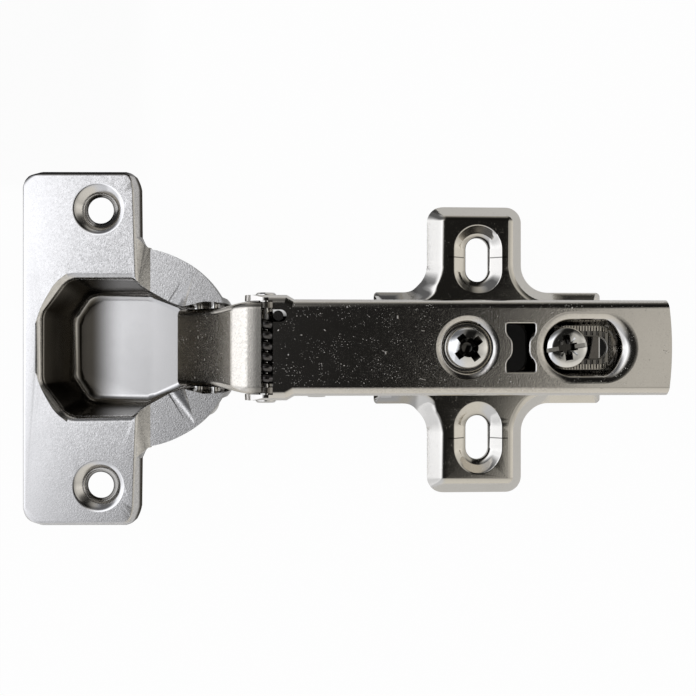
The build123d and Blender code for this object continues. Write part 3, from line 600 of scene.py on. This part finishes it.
thread(adjusting, front_axis, root=2.12, crest=2.48, low=8.8, high=11.8, pitch=0.8)
front_screw = finish_mesh(adjusting, "adjusting_screw_detailed", front_zinc, "side_screw",
                          "adjusting_screw")
print("adjusting screw:", len(front_screw.data.polygons), "faces")

# %% [markdown]
# The rear screw clamps the arm to the plate. Its head has a slot from edge to edge, a shorter and
# wider bar across it, and the thin star marks of a cross driver between them.

# %% Fixing screw
head = bmesh.new()
lathe(head, rear_axis, [(0, rear_top), (1.5, 12.33), (2.6, 12.24), (3.2, 12.08), (3.48, 11.85),
                        (3.55, 11.6), (3.55, 10.87), (2.75, 10.07), (2.7, 10.05), (1.6, 10.05),
                        (1.6, 1.5), (1.2, 1.0), (0, 1.0)])
bmesh.ops.remove_doubles(head, verts=head.verts, dist=1e-7)
bmesh.ops.recalc_face_normals(head, faces=head.faces)
bars = ((8.5, 8.0, 0.95, 0.7, 1.0),                                   # the slot
        (8.5, 3.8, 1.4, 1.8, 0.5), (98.5, 5.0, 1.4, 1.8, 0.5),        # the cross
        (53.5, 5.4, 0.34, 0.8, 0.5), (143.5, 5.4, 0.34, 0.8, 0.5))    # the star
recess = []
for turn, length, width, depth, shrink in bars:
    cutter = bmesh.new()
    wedge(cutter, rear_axis, turn, length, width, rear_top, depth, shrink)
    recess.append(cutter)
fixing = carve(head, recess)
thread(fixing, rear_axis, root=1.6, crest=1.93, low=1.5, high=9.9, pitch=0.7)
rear_screw = finish_mesh(fixing, "fixing_screw_detailed", rear_zinc, "clamp_screw",
                         "fixing_screw")
print("fixing screw:", len(rear_screw.data.polygons), "faces")

# %% [markdown]
# ## Teeth in the rear dish
#
# The floor of the rear dish is pressed with sharp little teeth, which bite into the underside of
# the screw's head. They stand along both long sides and round the rear end. Each is a bar with a
# triangular section, which a cone with three sides and equal radii gives at once.

# %% Dish teeth
teeth = bmesh.new()
tooth_r, tooth_length, tooth_middle = 0.2, 0.9, dish_floor + 0.06
first_tooth, first_long, last_tooth, spacing = 12.6, 21.5, 22.3, 0.5
floor_half, round_end = 3.8, 19.5     # half the floor's width, and where its end begins to round


def tooth(along, middle, length):
    made = bmesh.ops.create_cone(teeth, cap_ends=True, segments=3, radius1=tooth_r * MM,
                                 radius2=tooth_r * MM, depth=length * MM)["verts"]
    rotate(teeth, made, math.radians(90), "X")
    top = max(made, key=lambda vert: vert.co.z).co
    lean = math.atan2(top.x, top.z)
    rotate(teeth, made, -lean, "Y")
    bmesh.ops.translate(teeth, verts=made, vec=(along * MM, middle * MM, tooth_middle * MM))


along = first_tooth
while along < last_tooth:
    past = max(along - round_end, 0.0)
    reach = math.sqrt(floor_half ** 2 - past ** 2)
    if along > first_long:
        tooth(along, 0.0, 2 * reach - tooth_r)
    else:
        for side in (-1, 1):
            tooth(along, side * (reach - tooth_length / 2), tooth_length)
    along += spacing
dish_teeth = finish_mesh(teeth, "dish_teeth", pin_steel, "arm", None)
print("teeth:", len(dish_teeth.data.polygons) // 5)

# %% [markdown]
# ## Lips of the dishes
#
# The press left a soft, wide lip round both dishes, which draws a broad light ring on the left and
# a dark one on the right. Each lip is a ring spun from its section, lying on the dish's own wall.
# For the rear dish, the ring's right half is moved out to the dish's other centre, and its inner
# rows reach further in at that end.

# %% Dish lips
def dish_lip(name, centre_x, outer, rows, stretch=0.0, reach=0.0, shallow=0.0):
    """A ring from its (radius, height) rows. Its right half is moved out by stretch mm.
    There its inner rows reach further in, or slope less."""
    slope_low = 12.1                  # mm: only what lies above this slopes less
    ring = bmesh.new()
    lathe(ring, (centre_x * MM, 0.0), rows, steps=96, closed=True)
    for vert in ring.verts:
        x, y = vert.co.x / MM - centre_x, vert.co.y / MM
        radius = math.hypot(x, y)
        if x > 1e-3:
            right = fade(x / radius, 0.0, 1.0)
            wide = 1.0 - reach * right * (outer - radius) / radius
            vert.co.x, vert.co.y = (centre_x + stretch + x * wide) * MM, y * wide * MM
            if vert.co.z > slope_low * MM:
                vert.co.z += (arm_top * MM - vert.co.z) * shallow * right
    return finish_mesh(ring, name, bright_nickel, "arm", None)


front_lip = dish_lip("front_dish_lip", -3.7, 5.9,
                     [(5.9, 12.801), (5.7, 12.79), (5.4, 12.745), (5.1, 12.66), (4.8, 12.54),
                      (4.55, 12.38), (4.35, 12.15), (4.2, 11.8), (4.12, 11.32), (4.4, 11.2),
                      (5.3, 12.35), (5.9, 12.7)], shallow=0.6)
rear_lip = dish_lip("rear_dish_lip", 14.25, 6.19,
                    [(6.19, 12.801), (5.95, 12.785), (5.7, 12.74), (5.45, 12.66), (5.2, 12.54),
                     (5.0, 12.4), (4.85, 12.2), (4.7, 11.8), (4.5, 11.0), (4.3, 10.2),
                     (4.22, 9.82), (4.4, 9.7), (5.6, 12.3), (6.19, 12.7)],
                    stretch=5.3, reach=0.75)
print("dish lips:", front_lip.name, rear_lip.name)

# %% [markdown]
# ## Rims of the door screws' holes
#
# The rims of the two countersunk holes in the flange are rounded, so each shows a white crescent
# on the right and a dark one on the left. Each rim is a small ring, turned to the cup's lean.

# %% Hole rims
rim_nickel = nickel("rim_nickel", (0.78, 0.76, 0.73), 0.16, grain=0.1)
rims = bmesh.new()
for side in (-1, 1):
    before = set(rims.verts)
    lathe(rims, (0.0, 0.0), [(4.52, 0.001), (4.4, -0.004), (4.25, -0.03), (4.1, -0.085),
                             (3.95, -0.165), (3.8, -0.28), (3.6, -0.46), (3.4, -0.66),
                             (3.2, -0.86), (2.85, -1.23), (2.8, -1.32), (3.4, -0.95),
                             (4.3, -0.3), (4.52, -0.1)], closed=True)
    made = [vert for vert in rims.verts if vert not in before]
    rotate(rims, made, -open_lean, "Y")
    spot = cup_across * hole_along + cup_out * flange_top + Vector((0, side * hole_across, 0))
    bmesh.ops.translate(rims, verts=made, vec=cup_centre + spot * MM)
hole_rims = finish_mesh(rims, "screw_hole_rims", rim_nickel, "cup", None)
print("hole rims:", len(hole_rims.data.polygons), "faces")

# %% [markdown]
# ## Edges of the window and the clamping slot
#
# The window in the arm was punched from above, so its edge is rolled over a little and draws a
# light line round the dark hole. So does the slot in the floor of the rear dish. The roll is the
# hole's own outline as one face. Its corners are rounded by a bevel of its vertices, then three
# insets step it inwards and down, and the face that is left in the middle goes.

# %% Rolled edges
def rolled_edge(name, outline, corner, segments, level):
    """A thin rolled rim round a hole. The outline's corners, in mm, get the given radius."""
    steps = ((0.1, 0.03), (0.09, 0.09), (0.04, 0.2))    # inwards and down, in mm
    rim = bmesh.new()
    corners = [rim.verts.new((x * MM, y * MM, level * MM)) for x, y in outline]
    rim.faces.new(corners)
    bmesh.ops.bevel(rim, geom=corners, offset=corner * MM, segments=segments, profile=0.5,
                    affect="VERTICES", material=-1)
    for inwards, down in steps:
        hole = max(rim.faces, key=lambda face: face.calc_area())
        bmesh.ops.inset_region(rim, faces=[hole], thickness=inwards * MM, depth=-down * MM,
                               use_even_offset=True, use_boundary=True)
    hole = max(rim.faces, key=lambda face: face.calc_area())
    bmesh.ops.delete(rim, geom=[hole], context="FACES_ONLY")
    piece = finish_mesh(rim, name, bright_nickel, "arm", None)
    sheet = piece.modifiers.new("thickness", "SOLIDIFY")
    sheet.thickness, sheet.offset = 0.05 * MM, 0.0
    return piece


window_x = 5.4
half = [(2.75, -4.4), (2.75, -2.35), (1.65, -1.13), (1.65, 1.13), (2.75, 2.35), (2.75, 4.4)]
window_outline = [(window_x + side * x, side * y) for side in (-1, 1) for x, y in half]
window_edge = rolled_edge("window_edge", window_outline, 0.6, 4, arm_top + 0.01)
slot_outline = [(11.0, -2.15), (21.38, -2.15), (21.38, 2.15), (11.0, 2.15)]
slot_edge = rolled_edge("clamp_slot_edge", slot_outline, 2.1, 10, dish_floor + 0.03)
print("rolled edges:", window_edge.name, slot_edge.name)

# %% [markdown]
# ## Floor
#
# The hinge was photographed on plain white. A wide white floor lies just under the cup. To the
# camera it glows plain white, and to the metal's reflections at a fifth of that. The rest is
# ordinary white paint, which keeps a soft shadow. Under the arm a shadow is painted on the floor:
# its paint is near black and it does not glow there. That painted shadow is what shows through the
# window in the arm and beside the spring. A dark strip painted behind the cup, as shade for the
# metal to mirror, is seen only by the reflections.

# %% Floor
floor_drop = 2.6 * MM                 # the cup sinks by that much when the arm is tilted down
floor_low = cad_box[0].z - floor_drop
bpy.ops.mesh.primitive_plane_add(size=4.0, location=(0, 0, floor_low))
floor = bpy.context.object
floor.name = "floor"
floor_material, tree, where, shader = new_material("white_floor")
floor.data.materials.append(floor_material)

along, across = place(tree, where, "X"), place(tree, where, "Y")
# A soft shadow painted on the floor under the arm: its paint goes near black and its glow goes out.
arm_middle, arm_reach, arm_fade = -6.5 * MM, 43.5 * MM, 9.0 * MM
from_middle = (along - arm_middle).math("ABSOLUTE")
arm_shade = ((1.0 - from_middle.step(arm_reach - arm_fade, arm_reach))
             * (1.0 - across.math("ABSOLUTE").step(5.2 * MM, 9.0 * MM)))
# A dark strip painted on the floor behind the cup: painted shade that only the metal mirrors.
behind_cup = across.step(29.0 * MM, 32.0 * MM) * (1.0 - along.step(-66.0 * MM, -58.0 * MM))
dark = arm_shade.math("MAXIMUM", behind_cup)
paint = mix_colour(tree, dark, (0.92, 0.92, 0.92, 1.0), (0.01, 0.01, 0.01, 1.0))
plug(tree, shader, "Base Color", paint)
plug(tree, shader, "Roughness", 0.9)
white = (1.0, 1.0, 1.0, 1.0)
glow = make_node(tree, "ShaderNodeEmission", None, {"Color": white, "Strength": 1.0})
seen = make_node(tree, "ShaderNodeLightPath", output="Is Camera Ray")
mirrored = make_node(tree, "ShaderNodeLightPath", output="Is Glossy Ray")
through = make_node(tree, "ShaderNodeLightPath", output="Is Transmission Ray")
seen_glow, mirrored_glow = 0.97, 0.2
plain_white = (seen * seen_glow + mirrored * (1.0 - behind_cup) * mirrored_glow
               + through * seen_glow).clamp() * (1.0 - arm_shade)
blend = tree.nodes.new("ShaderNodeMixShader")
tree.links.new(plain_white.socket, blend.inputs[0])
tree.links.new(shader.outputs[0], blend.inputs[1])
tree.links.new(glow.socket, blend.inputs[2])
floor_out = next(node for node in tree.nodes if node.type == "OUTPUT_MATERIAL")
tree.links.new(blend.outputs[0], floor_out.inputs["Surface"])
print("floor at", round(floor_low / MM, 2), "mm")

# %% [markdown]
# ## Room
#
# Polished metal is only as good as what it mirrors, so the room is built for the reflections. The
# photographer's dark card hung straight overhead, round the lens. A large cool light stood on the
# left, a weaker warm one on the right, and a low one in front. Behind it was dark down to the
# horizon. The room is described by the direction a ray goes in: one brightness for how far it
# leans left or right, one for how far it leans to the front or back. The camera itself sees plain
# white past the floor's edge.

# %% Room
world = bpy.data.worlds.new("room")
bpy.context.scene.world = world
world.use_nodes = True
room = world.node_tree
room.nodes.clear()
direction = make_node(room, "ShaderNodeTexCoord", output="Generated")
to_right = make_node(room, "ShaderNodeSeparateXYZ", None, {0: direction}, output="X")
to_back = make_node(room, "ShaderNodeSeparateXYZ", None, {0: direction}, output="Y")


def brightness(value, stops):
    """A brightness for a value from -1 to 1, straight between the stops."""
    ramp = [((place + 1) / 2, (level / 2, level / 2, level / 2, 1)) for place, level in stops]
    return make_node(room, "ShaderNodeValToRGB", {"stops": ramp}, {0: (value + 1.0) * 0.5}) * 2.0


slanted = to_right - to_back * 0.4
sides = brightness(slanted, [(-1, 1.4), (-0.6, 1.5), (-0.40, 1.7), (-0.35, 1.55), (-0.30, 1.1),
                             (-0.25, 0.85), (-0.21, 0.5), (-0.14, 0.08), (-0.09, 0.02),
                             (0.16, 0.012), (0.2, 0.02), (0.22, 0.06), (0.245, 0.16), (0.268, 0.42),
                             (0.3, 0.5), (0.36, 0.6), (0.5, 0.5), (0.75, 0.7), (1, 0.9)])
fading = brightness(to_back, [(-1, 0.6), (-0.35, 0.6), (-0.17, 0.8), (-0.06, 0.95), (0, 1.0),
                              (0.06, 0.96), (0.12, 0.9), (0.3, 0.9), (0.5, 0.3), (0.65, 0.1),
                              (1, 0.1)])
front = brightness(to_back, [(-1, 0.75), (-0.6, 0.7), (-0.35, 0.62), (-0.22, 0.25), (-0.15, 0.01),
                             (0.75, 0.01), (0.88, 0.05), (0.96, 0.3), (1, 0.5)])
level = (sides * fading).math("MAXIMUM", front)
cool = mix_colour(room, to_right.step(-0.35, 0.15), (0.97, 1.0, 1.08, 1.0), (1.03, 1.0, 0.94, 1.0))
seen = (make_node(room, "ShaderNodeLightPath", output="Is Camera Ray")
        + make_node(room, "ShaderNodeLightPath", output="Is Transmission Ray")).clamp()
tint = mix_colour(room, seen, cool, white)
backdrop = make_node(room, "ShaderNodeBackground", None,
                     {"Color": tint, "Strength": level * (1.0 - seen) + seen})
room_out = room.nodes.new("ShaderNodeOutputWorld")
room.links.new(backdrop.socket, room_out.inputs["Surface"])
bpy.context.scene.view_settings.view_transform = "Standard"
print("room ready")
